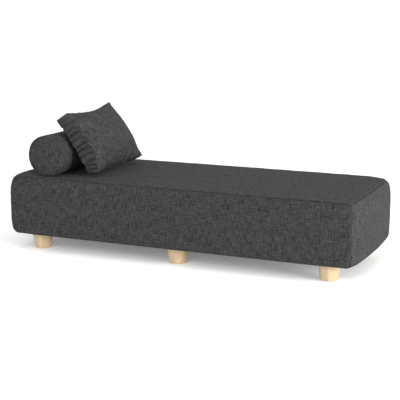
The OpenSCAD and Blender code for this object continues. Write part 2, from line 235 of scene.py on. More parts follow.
class Tree:
    """A material's node tree, with short calls for the nodes used here."""

    def __init__(self, name):
        self.material = bpy.data.materials.new(name)
        self.material.use_nodes = True
        self.nodes = self.material.node_tree.nodes
        self.links = self.material.node_tree.links
        self.shader = self.nodes["Principled BSDF"]

    def node(self, kind, **settings):
        n = self.nodes.new("ShaderNode" + kind)
        for key, value in settings.items():
            setattr(n, key, value)
        return n

    def put(self, socket, value):
        if isinstance(value, bpy.types.NodeSocket):
            self.links.new(value, socket)
        elif value is not None:
            socket.default_value = value

    def math(self, operation, a, b=None):
        n = self.node("Math", operation=operation)
        for i, v in enumerate((a, b)):
            self.put(n.inputs[i], v)
        return n.outputs[0]

    def mix(self, factor, a, b):
        n = self.node("Mix", data_type="RGBA", blend_type="MIX")
        self.put(n.inputs[0], factor)
        self.put(n.inputs[6], a)
        self.put(n.inputs[7], b)
        return n.outputs[2]

    def spread(self, value, low, high, to_low=0.0, to_high=1.0):
        n = self.node("MapRange")
        for i, v in enumerate((value, low, high, to_low, to_high)):
            self.put(n.inputs[i], v)
        return n.outputs[0]

    def noise(self, vector, scale, detail=2.0, roughness=0.5):
        n = self.node("TexNoise")
        self.put(n.inputs["Vector"], vector)
        n.inputs["Scale"].default_value = scale
        n.inputs["Detail"].default_value = detail
        n.inputs["Roughness"].default_value = roughness
        return n.outputs["Fac"]

    def scaled(self, vector, scale):
        n = self.node("Mapping")
        self.put(n.inputs["Vector"], vector)
        n.inputs["Scale"].default_value = scale
        return n.outputs[0]

    def bump(self, height, strength, distance):
        n = self.node("Bump")
        self.put(n.inputs["Height"], height)
        n.inputs["Strength"].default_value = strength
        n.inputs["Distance"].default_value = distance
        self.links.new(n.outputs[0], self.shader.inputs["Normal"])

    def object_coords(self):
        return self.node("TexCoord").outputs["Object"]

    def set(self, **values):
        for key, value in values.items():
            self.put(self.shader.inputs[key.replace("_", " ")], value)


def rgb(*c):
    return (*c, 1.0)


def heather(name, dark, light, thread=0.0021):
    """Woven upholstery cloth: slubbed threads both ways, flecked light and dark."""
    t = Tree(name)
    uv = t.node("UVMap", uv_map="weave").outputs[0]
    # Slubs: streaks long in one direction and a thread or two wide in the other.
    def streak(wide, long, detail=3.0):
        across = t.noise(t.scaled(uv, (1 / wide, 1 / long, 1)), 1.0, detail, 0.6)
        down = t.noise(t.scaled(uv, (1 / long, 1 / wide, 1)), 1.0, detail, 0.6)
        return t.math("ADD", t.math("MULTIPLY", across, 0.54), t.math("MULTIPLY", down, 0.46))

    broad = streak(0.010, 0.050)
    streaks = streak(0.0045, 0.045)
    fine = streak(thread, 0.014, 2.0)
    cloud = t.noise(t.scaled(uv, (1 / 0.05, 1 / 0.06, 1)), 1.0, 4.0, 0.65)
    tone = t.math("ADD", t.math("MULTIPLY", streaks, 0.48), t.math("MULTIPLY", fine, 0.28))
    tone = t.math("ADD", tone, t.math("MULTIPLY", broad, 0.16))
    tone = t.math("ADD", tone, t.math("MULTIPLY", cloud, 0.08))
    # Threads over and under each other.
    split = t.node("SeparateXYZ")
    t.links.new(uv, split.inputs[0])
    pi2 = 2 * math.pi / thread
    sx = t.math("SINE", t.math("MULTIPLY", split.outputs[0], pi2))
    sy = t.math("SINE", t.math("MULTIPLY", split.outputs[1], pi2))
    over = t.math("MULTIPLY", sx, sy)
    level = t.spread(tone, 0.41, 0.60)
    shade = t.math("ADD", level, t.math("MULTIPLY", over, 0.10))
    colour = t.mix(t.spread(shade, 0.0, 1.0), dark, light)
    t.set(Base_Color=colour, Roughness=0.92, Specular_IOR_Level=0.10,
          Sheen_Weight=0.02, Sheen_Roughness=0.4)
    t.shader.inputs["Sheen Tint"].default_value = rgb(0.8, 0.8, 0.8)
    height = t.math("ADD", t.math("MULTIPLY", over, 0.35), t.math("MULTIPLY", fine, 1.0))
    height = t.math("ADD", height, t.math("MULTIPLY", streaks, 0.7))
    t.bump(height, 0.55, 0.0012)
    return t.material


def timber(name, pale, deep, along="Z", ring=0.006, gloss=0.42):
    """Wood with growth rings running along one axis of the piece."""
    t = Tree(name)
    p = t.object_coords()
    lengthwise, pore_scale = {"X": ((0.12, 1, 1), (18, 700, 700)), "Z": ((1, 1, 0.12), (700, 700, 18))}[along]
    q = t.scaled(p, lengthwise)
    warp = t.node("TexNoise")
    t.links.new(q, warp.inputs["Vector"])
    warp.inputs["Scale"].default_value = 7.0
    warp.inputs["Detail"].default_value = 3.0
    moved = t.node("VectorMath", operation="MULTIPLY_ADD")
    t.links.new(warp.outputs["Color"], moved.inputs[0])
    moved.inputs[1].default_value = (0.05, 0.05, 0.05)
    t.links.new(q, moved.inputs[2])
    rings = t.node("TexWave", wave_type="RINGS", rings_direction=along, wave_profile="SAW")
    t.links.new(moved.outputs[0], rings.inputs["Vector"])
    rings.inputs["Scale"].default_value = 0.05 / ring
    rings.inputs["Distortion"].default_value = 1.2
    rings.inputs["Detail"].default_value = 2.0
    rings.inputs["Detail Scale"].default_value = 1.5
    pores = t.noise(t.scaled(p, pore_scale), 1.0, 2.0)
    tint = t.noise(q, 9.0, 3.0)
    grain = t.math("ADD", t.math("MULTIPLY", rings.outputs["Fac"], 0.45), t.math("MULTIPLY", pores, 0.35))
    grain = t.math("ADD", grain, t.math("MULTIPLY", tint, 0.30))
    colour = t.mix(t.spread(grain, 0.25, 0.9), pale, deep)
    t.set(Base_Color=colour, Roughness=t.spread(pores, 0.3, 0.7, gloss - 0.05, gloss + 0.12),
          Specular_IOR_Level=0.4)
    t.bump(t.math("ADD", pores, t.math("MULTIPLY", rings.outputs["Fac"], 0.4)), 0.18, 0.0006)
    return t.material


def speckled(name, dark, light, scale, rough=0.9, bump_by=0.0006, strength=0.6, metal=0.0, sheen=0.0):
    """A surface with fine mottling and bumps: foam, felt, wadding, plated steel or moulded plastic."""
    t = Tree(name)
    p = t.object_coords()
    mottle = t.noise(p, scale, 4.0, 0.6)
    large = t.noise(p, scale / 14, 2.0)
    tone = t.math("ADD", t.math("MULTIPLY", mottle, 0.7), t.math("MULTIPLY", large, 0.3))
    t.set(Base_Color=t.mix(t.spread(tone, 0.35, 0.65), dark, light),
          Roughness=t.spread(large, 0.3, 0.7, rough - 0.06, rough + 0.06), Metallic=metal,
          Sheen_Weight=sheen)
    t.bump(mottle, strength, bump_by)
    return t.material


CLOTH = heather("charcoal_cloth", rgb(0.0052, 0.0052, 0.0054), rgb(0.0660, 0.0660, 0.0672))
LEG_WOOD = timber("pale_leg_wood", rgb(0.54, 0.43, 0.275), rgb(0.41, 0.285, 0.155))
FRAME_WOOD = timber("frame_timber", rgb(0.68, 0.50, 0.31), rgb(0.47, 0.30, 0.15), along="X", ring=0.009,
                    gloss=0.62)
FOAM = speckled("foam", rgb(0.70, 0.63, 0.38), rgb(0.86, 0.80, 0.56), 900, sheen=0.2)
FIRM_FOAM = speckled("firm_foam", rgb(0.42, 0.52, 0.60), rgb(0.62, 0.70, 0.76), 900, sheen=0.2)
WADDING = speckled("wadding", rgb(0.70, 0.70, 0.68), rgb(0.90, 0.90, 0.88), 160, bump_by=0.002, sheen=0.5)
FELT = speckled("felt", rgb(0.10, 0.095, 0.09), rgb(0.34, 0.32, 0.30), 420, sheen=0.4)
GLIDE_FELT = speckled("glide_felt", rgb(0.11, 0.075, 0.05), rgb(0.26, 0.18, 0.12), 700, sheen=0.4)
ZINC = speckled("zinc_plate", rgb(0.52, 0.54, 0.57), rgb(0.72, 0.73, 0.74), 260, 0.34, 0.0002, 0.25, 1.0)
WIRE = speckled("oiled_wire", rgb(0.12, 0.12, 0.13), rgb(0.30, 0.30, 0.31), 300, 0.36, 0.0002, 0.3, 1.0)
NICKEL = speckled("dark_nickel", rgb(0.20, 0.20, 0.21), rgb(0.33, 0.33, 0.34), 500, 0.28, 0.0001, 0.3, 1.0)
COIL = speckled("zip_coil", rgb(0.014, 0.014, 0.016), rgb(0.045, 0.045, 0.05), 800, 0.45, 0.0002, 0.4)


def ribbed(name, dark, light, pitch, cross):
    """Fine woven tape or spunbonded cloth on its own map."""
    t = Tree(name)
    uv = t.node("UVMap", uv_map="weave").outputs[0]
    split = t.node("SeparateXYZ")
    t.links.new(uv, split.inputs[0])
    a = t.math("SINE", t.math("MULTIPLY", split.outputs[0], 2 * math.pi / pitch))
    b = t.math("SINE", t.math("MULTIPLY", split.outputs[1], 2 * math.pi / cross))
    fleck = t.noise(t.scaled(uv, (1 / 0.003, 1 / 0.003, 1)), 1.0, 3.0)
    both = t.math("MULTIPLY", a, b)
    tone = t.math("ADD", t.math("MULTIPLY", both, 0.25), fleck)
    t.set(Base_Color=t.mix(t.spread(tone, 0.2, 0.8), dark, light), Roughness=0.85, Sheen_Weight=0.2)
    t.bump(t.math("ADD", both, fleck), 0.5, 0.0003)
    return t.material


DUST = ribbed("dust_cloth", rgb(0.012, 0.012, 0.013), rgb(0.045, 0.045, 0.048), 0.004, 0.004)
TAPE = ribbed("zip_tape_weave", rgb(0.018, 0.018, 0.02), rgb(0.06, 0.06, 0.065), 0.0012, 0.0024)
THREAD = speckled("stitching_thread", rgb(0.03, 0.03, 0.032), rgb(0.10, 0.10, 0.105), 1500, 0.7, 0.0001, 0.4)


def inner_copy(name, parts, shrink, material, node, body, centre=(0, 0, 0)):
    """The stuffing inside a cushion: its cover's shape, shrunk along each of its own axes about centre."""
    points, faces, start = [], [], 0
    for ob in parts:
        local = (coords(ob) - centre) * shrink + centre
        points += [ob.matrix_world @ Vector(p) for p in local]
        faces += [[v + start for v in f.vertices] for f in ob.data.polygons]
        start += len(local)
    me = bpy.data.meshes.new(name)
    me.from_pydata(points, [], faces)
    me.polygons.foreach_set("use_smooth", [True] * len(me.polygons))
    ob = bpy.data.objects.new(name, me)
    scene.collection.objects.link(ob)
    wear(ob, material)
    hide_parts(node)
    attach(ob, body)
    return ob


def wear(ob, material):
    ob.data.materials.clear()
    ob.data.materials.append(material)


# ---- The block's shape ----

CROWN_TOP, CROWN_ENDS, CROWN_SIDES = 0.0065, 0.028, 0.010  # how far the panels bulge
GROOVE, GROOVE_WIDTH = 0.0026, 0.0022  # of the sewn seam round the top
CORNER_RADIUS, CRISP_CORNER_LESS = 0.032, 0.025  # added to the radius where three seams meet
ALLOWANCE = 0.005  # turned in along every seam


def fuller(d, reach):
    """0 at a seam and 1 past reach, rising steeply at first, as stuffed cloth does."""
    t = np.clip(1 - np.asarray(d) / reach, 0, 1)
    return (1 - t ** 2) ** 0.75


def quiet(x):
    """Little at the head end, where the cushions lie, and 1 over the rest of the top."""
    return 0.12 + 0.88 * smooth(-0.55, -0.05, x)


def top_crown(x, y):
    """How far the top stands above the CAD's flat top."""
    rise = 1.0
    for d, span in ((HALF[0] - np.abs(x), 0.5), (HALF[1] - np.abs(y), HALF[1])):
        rise = rise * (0.4 * fuller(d, 0.05) + 0.6 * fuller(d, span))
    return CROWN_TOP * rise * quiet(x)


def crisp(p):
    """1 towards the front corner of the foot end, which is sewn sharper than the others."""
    return smooth(-0.2, 0.6, p[..., 0]) * (1 - smooth(-0.35, -0.05, p[..., 1]))


def edge_radius(p):
    """Small along the sewn seams, larger where the cloth turns under the block and where seams meet."""
    dx, dy = (HALF[i] - np.abs(p[..., i]) for i in (0, 1))
    d_top, d_low = HALF[2] - p[..., 2], HALF[2] + p[..., 2]
    flat = dx ** 2 + dy ** 2
    top_corner = (CORNER_RADIUS - CRISP_CORNER_LESS * crisp(p)) * np.exp(-(flat + d_top ** 2) / 0.058 ** 2)
    low_corner = 0.010 * np.exp(-(flat + d_low ** 2) / 0.06 ** 2)
    low_edge = 0.014 * (1 - smooth(0.01, 0.09, d_low))
    return 0.008 + 0.004 * bump(d_top, 0.05) + low_edge + top_corner + low_corner


def rounded(p):
    """The rounded box's middle line nearest to p, and the vector from it to p."""
    r = edge_radius(p)[..., None]
    core = np.clip(p, -(HALF - r), HALF - r)
    return r, core, p - core


def block_surface(p):
    """Where points of the plain box's surface go on the upholstered block, and the way out of it there.

    p is measured from the box's middle."""
    x, y, z = p[..., 0], p[..., 1], p[..., 2]
    dx, dy, d_top, d_low = HALF[0] - np.abs(x), HALF[1] - np.abs(y), HALF[2] - z, HALF[2] + z
    r, core, n = rounded(p)
    n = n / np.maximum(np.linalg.norm(n, axis=-1, keepdims=True), 1e-9)
    out = core + r * n
    # Distances over the surface to the sewn seams: round the top, and down the corners.
    on_top = d_top < 1e-6
    to_top = np.where(on_top, np.minimum(dx, dy), d_top)
    to_corner = np.where(on_top, 1.0, np.maximum(dx, dy))
    seam = np.minimum(to_top, to_corner)
    push = -GROOVE * bump(to_top, GROOVE_WIDTH) * (1 - 0.5 * bump(to_corner, 0.02))
    push += -0.0005 * bump(to_corner, GROOVE_WIDTH)
    push += 0.0012 * bump(seam - 0.0085, 0.0042)
    # The turned-in seam allowance shows as a low ridge along the side's top edge.
    push += np.where(on_top, 0, 0.0013 * smooth(0.0015, 0.004, to_top) * (1 - smooth(0.0095, 0.012, to_top)))
    # Small puckers that fade away from the seams.
    along = np.stack([x, y, np.zeros_like(x)], -1)
    upright = np.stack([z, x * 0.2, y * 0.2], -1)
    push += 0.0012 * ripple(along, 0.034, 1) * np.exp(-to_top / 0.022) * smooth(0, 0.006, to_top)
    push += 0.0010 * ripple(upright, 0.030, 2) * np.exp(-to_corner / 0.03) * smooth(0, 0.006, to_corner)
    loose = 0.0020 * ripple(p, (0.30, 0.26, 0.22), 3) * smooth(0.0, 0.07, seam)
    loose += 0.0008 * ripple(p, (0.11, 0.10, 0.09), 4) * smooth(0.0, 0.05, seam)
    push += loose * np.where(on_top, quiet(x), 1)
    out = out + n * (push * smooth(0, 0.02, d_low))[..., None]

    # Crowned panels. A crown starts steeply at a seam, and stays nearly full where the cloth turns under.
    side = (0.4 * fuller(d_top, 0.08) + 0.6 * fuller(d_top, HALF[2])) * (0.92 + 0.08 * fuller(d_low, HALF[2]))
    bow = 1 - (z / HALF[2]) ** 2
    for i, crown, own, across in ((0, CROWN_ENDS, dx, dy), (1, CROWN_SIDES, dy, dx)):
        full = 0.25 * fuller(across, 0.09) + 0.75 * fuller(across, 0.4)
        out[..., i] += np.sign(p[..., i]) * (crown * full * side + 0.001 * bow) * (1 - smooth(0, 0.05, own))
    out[..., 2] += np.where(on_top, top_crown(x, y), 0)
    # The three seams that meet at a top corner pull it down.
    out[..., 2] -= 0.004 * (1 - crisp(p)) * np.exp(-(dx ** 2 + dy ** 2 + d_top ** 2) / 0.06 ** 2)
    # The foot end is drawn in towards its back corner, most of all at the top.
    drawn_in = 0.004 + 0.005 * np.exp(-d_top ** 2 / 0.06 ** 2)
    out[..., 0] -= drawn_in * smooth(0.4, 1.0, x) * smooth(0.05, 0.4, y)
    # The bolster presses into the top.
    press = bump(x - BOLSTER_AT[0], 0.05) * (1 - smooth(0.33, 0.38, np.abs(y)))
    out[..., 2] -= np.where(on_top, 0.0010 * press, 0)
    return out + MIDDLE, n



def panel_grid(p, plain, weave, borders, flip):
    """Adds a panel to p, with its seam allowance turned in along the given borders."""
    shaped, out = block_surface(plain)
    p.grid(shaped, weave, flip=flip)
    for axis, k in borders:
        pick = tuple(slice(k, k + 1 or None) if i == axis else slice(None) for i in (0, 1))
        turned = shaped[pick] - ALLOWANCE * out[pick]
        pair = [turned, shaped[pick]] if k == 0 else [shaped[pick], turned]
        p.grid(np.concatenate(pair, axis), np.concatenate([weave[pick]] * 2, axis), flip=flip)


def side_panel(name, axis, sign):
    """Front or back (axis 1) or head or foot (axis 0), from the top seam down and in under the block."""
    along = 1 - axis
    run = graded(HALF[along], 0.010)
    down = graded(HALF[2], 0.010)[::-1]
    under = np.array([*NEAR[1:-1], 0.044, HEM])
    inset = np.concatenate([np.zeros(len(down)), under])
    height = np.concatenate([down, np.full(len(under), -HALF[2])])
    plain = np.zeros((len(run), len(inset), 3))
    plain[..., along] = run[:, None] * (1 - inset[None, :] / HALF[along])
    plain[..., axis] = sign * (HALF[axis] - inset[None, :])
    plain[..., 2] = height[None, :]
    length = np.concatenate([HALF[2] - down, 2 * HALF[2] + under])
    weave = np.stack(np.broadcast_arrays(run[:, None], -length[None, :]), -1) + {0: 3.1, 1: 0.4}[axis] * sign
    p = Patches()
    panel_grid(p, plain, weave, ((1, 0), (0, 0), (0, -1)), (axis == 0) == (sign > 0))
    return p.build(name)


def top_panel():
    xs, ys = graded(HALF[0], 0.010), graded(HALF[1], 0.010)
    plain = np.zeros((len(xs), len(ys), 3))
    plain[..., 0], plain[..., 1], plain[..., 2] = xs[:, None], ys[None, :], HALF[2]
    p = Patches()
    panel_grid(p, plain, plain[..., :2] + 7.0, ((0, 0), (0, -1), (1, 0), (1, -1)), False)
    return p.build("upholstery_top")


panels = {
    "cover_top": top_panel(),
    "cover_front": side_panel("upholstery_front", 1, -1),
    "cover_back": side_panel("upholstery_back", 1, 1),
    "cover_head": side_panel("upholstery_head_end", 0, -1),
    "cover_foot": side_panel("upholstery_foot_end", 0, 1),
}
for node, ob in panels.items():
    wear(ob, CLOTH)
    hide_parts(node)
    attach(ob, "daybed_base")

inner_copy("wadding_layer", list(panels.values()), (0.9955, 0.990, 0.976), WADDING, "wadding",
           "daybed_base", MIDDLE)


def squeezed(node, material, depth=0.009):
    """A foam piece, taken in to lie inside the cover's soft corners."""
    p = coords(nodes[node]) - MIDDLE
    from_corner = ((HALF[:2] - np.abs(p[:, :2])) ** 2).sum(1)
    near = np.exp(-from_corner / 0.07 ** 2)
    p[:, :2] = np.sign(p[:, :2]) * np.minimum(np.abs(p[:, :2]), HALF[:2] - 0.036 * near[:, None])
    p[:, 2] -= 0.022 * near * smooth(HALF[2] - 0.036, HALF[2] - 0.006, p[:, 2])
    r, core, v = rounded(p)
    r = np.maximum(r, depth)
    far = np.maximum(np.linalg.norm(v, axis=1, keepdims=True), 1e-9)
    me = nodes[node].data.copy()
    ob = bpy.data.objects.new("squeezed_" + node, me)
    scene.collection.objects.link(ob)
    set_coords(ob, core + v * np.minimum(1, (r - depth) / far) + MIDDLE)
    wear(ob, material)
    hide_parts(node)
    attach(ob, "daybed_base")


squeezed("foam_core", FIRM_FOAM)
for name in ("topper", "front", "back", "head", "foot"):
    squeezed("foam_" + name, FOAM)

# ---- Bolster ----

def bolster():
    """Tube and two end panels, slightly crowned, flat where it rests on the block."""
    turns = np.linspace(0, 2 * math.pi, 145)
    half = BOLSTER_LEN / 2
    edge = np.array([0, .0014, .003, .005, .0075, .0105, .014, .019, .026])
    lengths = np.unique(np.round(np.concatenate([-half + edge, np.linspace(-half + .026, half - .026, 66),
                                                 half - edge]), 6))
    made = []

    y, a = np.meshgrid(lengths, turns, indexing="ij")
    d = half - np.abs(y)
    r = np.full_like(y, BOLSTER_R)
    rim = 0.010
    r -= rim * (1 - np.sqrt(np.clip(1 - np.clip(1 - d / rim, 0, 1) ** 2, 0, 1))) * 0.55
    r -= 0.0016 * bump(d, 0.0022)
    base = np.stack([r * np.cos(a), y, r * np.sin(a)], -1)
    soft = 0.0012 * ripple(base, (0.10, 0.16, 0.10), 11) + 0.0006 * ripple(base, (0.03, 0.12, 0.03), 12)
    tight = 0.0006 * ripple(base, (0.022, 0.30, 0.022), 13) * np.exp(-d / 0.03) * smooth(0, 0.005, d)
    calm = 1 - bump(np.angle(np.exp(1j * (a - ZIP_ANGLE))), 0.22)
    r = r + (soft + tight) * calm - 0.0006 * (1 - calm)
    r += 0.0022 * bump(np.angle(np.exp(1j * (a + math.pi / 2))), 0.55)
    tube = np.stack([r * np.cos(a), y, r * np.sin(a)], -1)
    weave = np.stack([a * BOLSTER_R + 11.0, y], -1)
    p = Patches()
    p.grid(tube, weave)
    made.append(p)
    for sign in (-1, 1):
        steps = np.concatenate([[0.0], np.linspace(0.008, 1 - .026 / BOLSTER_R, 14),
                                1 - edge[::-1] / BOLSTER_R])
        steps = np.unique(np.round(steps, 6))
        s, a = np.meshgrid(steps, turns, indexing="ij")
        outer = tube[0 if sign < 0 else -1]
        radius = np.linalg.norm(outer[:, [0, 2]], axis=1)[None, :]
        d = (1 - s) * BOLSTER_R
        ease = np.sqrt(np.clip(1 - np.clip(1 - d / 0.014, 0, 1) ** 2, 0, 1))
        y = half * np.ones_like(s) - 0.0045 + 0.0045 * ease + 0.006 * (1 - s ** 2.6)
        y -= 0.0014 * bump(d, 0.0022) * (s < 1)
        y[-1] = half
        disc = np.stack([s * radius * np.cos(a), sign * y, s * radius * np.sin(a)], -1)
        soft = 0.0010 * ripple(disc, (0.07, 1, 0.07), 14) * smooth(0, 0.02, d)
        disc[..., 1] += sign * soft
        disc[-1] = outer
        weave = np.stack([disc[..., 0] + 13.0 + sign, disc[..., 2]], -1)
        q = Patches()
        q.grid(disc, weave, flip=sign > 0)
        made.append(q)
    names = ["bolster_tube_cloth", "bolster_front_cloth", "bolster_back_cloth"]
    return [q.build(name, Matrix.Translation(BOLSTER_AT)) for q, name in zip(made, names)]


tube, disc_front, disc_back = bolster()
stuffing = inner_copy("bolster_stuffing", (tube, disc_front, disc_back), (0.962, 0.984, 0.962), FOAM,
                      "bolster_core", "bolster")
p = coords(stuffing)
p[:, 2] = np.maximum(p[:, 2], TOP + top_crown(p[:, 0], p[:, 1]) + 0.006)
set_coords(stuffing, p)
for ob, node in ((tube, "bolster_cover_tube"), (disc_front, "bolster_cover_front_end"),
                 (disc_back, "bolster_cover_back_end")):
    p = coords(ob)
    floor_z = TOP + top_crown(p[:, 0] + BOLSTER_AT[0], p[:, 1]) + 0.0007 - BOLSTER_AT[2]
    p[:, 2] = np.maximum(p[:, 2], floor_z)
    set_coords(ob, p)
    wear(ob, CLOTH)
    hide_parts(node)
    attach(ob, "bolster")

# ---- Pillow ----

B2, W2, H2 = PILLOW / 2
NEAR_IN, FAR_IN, TOP_IN, LOW_IN = 0.024, 0.0015, 0.027, 0.010  # how far each seam of the front is drawn in
FRONT_CROWN = 0.072
GATHER_PITCH, GATHER_DEPTH, WRINKLE_DEPTH = 0.033, 0.024, 0.004
NUDGES = (((B2, W2, H2), (-0.009, 0.0, 0.007), 0.09), ((B2, W2, -H2), (0.012, 0.0, 0.0), 0.08),
          ((-B2, -W2, H2), (-0.009, 0.0, -0.006), 0.09),
          ((-B2, -W2, -H2), (0.0, 0.004, 0.016), 0.05))  # corner, how far it is pulled, and over what reach


def drawn(front):
    """The back's seams are drawn in less than the front's."""
    return np.where(front, 1.0, 0.40)


def pillow_face(nu, nv, front):
    """One crowned panel, as a grid of nu by nv points across its width and height."""
    sign = 1 if front else -1
    u, v = np.meshgrid(np.linspace(-1, 1, nu), np.linspace(-1, 1, nv), indexing="ij")
    in_y = np.where(u < 0, NEAR_IN, FAR_IN) * drawn(front) * (1 - v ** 2)
    in_z = np.where(v > 0, TOP_IN, LOW_IN) * drawn(front) * (1 - u ** 2)
    y, z = u * (W2 - in_y * np.abs(u) ** 0.8), v * (H2 - in_z * np.abs(v) ** 0.8)
    low = v + 0.30 * (1 - v ** 2)  # the filling lies a little below the middle
    full = np.clip((1 - np.abs(u) ** 2.6) * (1 - np.abs(low) ** 2.4), 0, 1) ** 0.55
    return np.stack([sign * (B2 + (FRONT_CROWN if front else CROWN_BACK) * full), y, z], -1)


def make_pillow():
    """Front, back and boxing as one closed mesh, without its gathers."""
    step = 0.0062
    nu, nv, nb = round(2 * W2 / step) + 1, round(2 * H2 / step) + 1, round(2 * B2 / step) + 1
    front, back = pillow_face(nu, nv, True), pillow_face(nu, nv, False)
    p = Patches()
    p.grid(front, front[..., 1:] + 21.0)
    p.grid(back, back[..., 1:] + 23.0, flip=True)
    w = np.linspace(-1, 1, nb)
    travelled = 0.0
    for f, b, out in ((front[:, 0], back[:, 0], (0, -1)), (front[-1, :], back[-1, :], (1, 0)),
                      (front[::-1, -1], back[::-1, -1], (0, 1)), (front[0, ::-1], back[0, ::-1], (-1, 0))):
        t = np.linspace(0, 1, len(f))[:, None]
        mid = ((w[None, :] + 1) / 2)[..., None]
        strip = b[:, None] * (1 - mid) + f[:, None] * mid
        length = float(np.linalg.norm(np.diff(f, axis=0), axis=1).sum())
        run = t * length
        ends = smooth(0.0, 0.05, run) * smooth(0.0, 0.05, length - run)
        swell = 0.002 * (1 - np.abs(w[None, :]) ** 2.5) * (0.25 + 0.75 * ends) * (out != (1, 0))
        strip[..., 1:] += swell[..., None] * np.array(out)
        weave = np.stack(np.broadcast_arrays(travelled + run + 25.0, w[None, :] * B2), -1)
        p.grid(strip, weave)
        travelled += length
    return p


pillow = make_pillow().build("pillow_cloth", Matrix.Translation(PILLOW_AT) @ PILLOW_TURN.to_4x4())
seam_mark = pillow.data.attributes.new("seam", "FLOAT", "POINT")
seam_mark.data.foreach_set("value", (np.abs(np.abs(coords(pillow)[:, 0]) - B2) < 1e-5).astype(np.float32))


def simulate_pillow():
    """Inflates the panels between their seams, the boxing less than the rest."""
    p = coords(pillow)
    pin = pillow.vertex_groups.new(name="pin")
    on_seam = np.abs(np.abs(p[:, 0]) - B2) < 1e-5
    pin.add([int(i) for i in np.nonzero(on_seam | (p[:, 1] > W2 - 0.004))[0]], 1.0, "REPLACE")
    cap = np.where(np.abs(p[:, :1]) < B2 - 1e-4, 0.003, 0.010)
    cloth(pillow, 18, 3.5, cap, "pin", tension=12, bending=0.2)
    pillow.vertex_groups.clear()


def gathers(ob):
    """Folds across the boxing where it is eased to the seams, wrinkles beside them, a ridge on each seam."""
    p, n = coords(ob), normals(ob)
    seam = np.empty(len(p), dtype=np.float32)
    ob.data.attributes["seam"].data.foreach_get("value", seam)
    rng = np.random.default_rng(41)
    w = np.clip(p[:, 0] / B2, -1.2, 1.2)
    shift = 0.0022 * smooth(0.55, 1.0, seam) - 0.0014 * bump(seam - 0.35, 0.22)
    sides = ((1, -1, W2, H2, NEAR_IN), (2, 1, H2, W2, TOP_IN), (2, -1, H2, W2, LOW_IN))
    for axis, sign, half, reach, depth in sides:
        run = p[:, 3 - axis] + reach
        count = round(2 * reach / GATHER_PITCH)
        places = (np.arange(count) + 0.5 + rng.uniform(-0.2, 0.2, count)) / count * 2 * reach
        deep, wide = rng.uniform(0.7, 1.2, count), rng.uniform(0.0060, 0.0085, count)
        slant = rng.uniform(-0.005, 0.005, count)
        folds = np.zeros(len(p))
        for c, g, h, k in zip(places, deep, wide, slant):
            folds += g * np.exp(-np.abs(run - c - k * w + 0.007 * w * w) / h)
        facing = smooth(0.30, 0.80, sign * n[:, axis])
        ends = (0.2 if sign > 0 else 0.8) * smooth(0.0, 0.09, run) * smooth(0.0, 0.05, 2 * reach - run)
        if axis == 1:
            ends = smooth(0.0, 0.03, run) * smooth(0.02, 0.075, 2 * reach - run)
        inward = half - depth * drawn(w > 0) * (1 - (run / reach - 1) ** 2) - sign * p[:, axis]
        beside = (1 - facing) * np.exp(-np.maximum(inward, 0) / 0.026) * (np.abs(w) > 0.9)
        fold_depth = GATHER_DEPTH * facing * (1 - 0.25 * np.abs(w) ** 3) + WRINKLE_DEPTH * beside
        shift += ends * (0.0050 * facing - fold_depth * folds)
    set_coords(ob, p + n * shift[:, None])


def settle(ob, gap):
    """Pulls the corners into place, tucks the front under, lets it down, then clears the bolster and block.

    gap is left between the piece and both of them."""
    turn = np.array(PILLOW_TURN)
    p = coords(ob)
    for corner, pull, reach in NUDGES:
        p = p + np.exp(-((p - corner) ** 2).sum(1) / reach ** 2)[:, None] * pull
    tuck = smooth(0.35, 1.0, -p[:, 2] / H2) * np.clip(1 - (p[:, 1] / W2) ** 2, 0, 1) ** 0.6
    p[:, 0] -= 0.050 * tuck * smooth(-B2, B2, p[:, 0])
    low = np.exp(-(p[:, 2] + H2) / 0.09) * smooth(-B2, B2, p[:, 0]) * (0.75 - 0.25 * p[:, 1] / W2)
    world = p @ turn.T + PILLOW_AT
    world[:, 2] -= 0.010 * low
    # The bolster: move along the pillow's own thickness until outside it.
    out = turn[:, 0]
    rel = world - BOLSTER_AT
    near = np.abs(rel[:, 1]) < BOLSTER_LEN / 2 + 0.002
    a = out[0] ** 2 + out[2] ** 2
    b = 2 * (rel[:, 0] * out[0] + rel[:, 2] * out[2])
    c = rel[:, 0] ** 2 + rel[:, 2] ** 2 - (BOLSTER_R + 0.0016 + gap) ** 2
    root = b * b - 4 * a * c
    t = np.where((root > 0) & (c < 0) & near, (-b + np.sqrt(np.maximum(root, 0))) / (2 * a), 0)
    world = world + t[:, None] * out
    world[:, 2] = np.maximum(world[:, 2], TOP + top_crown(world[:, 0], world[:, 1]) + gap)
    set_coords(ob, (world - PILLOW_AT) @ turn)


simulate_pillow()
stuffing = inner_copy("pillow_stuffing", (pillow,), (0.70, 0.83, 0.80), WADDING, "pillow_insert",
                      "pillow")
modifier(pillow, "SUBSURF", levels=1, render_levels=1)
apply_all(pillow)
gathers(pillow)
settle(pillow, 0.0006)
wear(pillow, CLOTH)
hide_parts("pillow_front_panel", "pillow_back_panel", "pillow_boxing_strip")
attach(pillow, "pillow")
# The stuffing's mesh is in the world's frame, so it goes into the pillow's to be settled, and back.
turn = np.array(PILLOW_TURN)
set_coords(stuffing, (coords(stuffing) - PILLOW_AT) @ turn)
settle(stuffing, 0.010)
set_coords(stuffing, coords(stuffing) @ turn.T + PILLOW_AT)

# ---- Zips ----


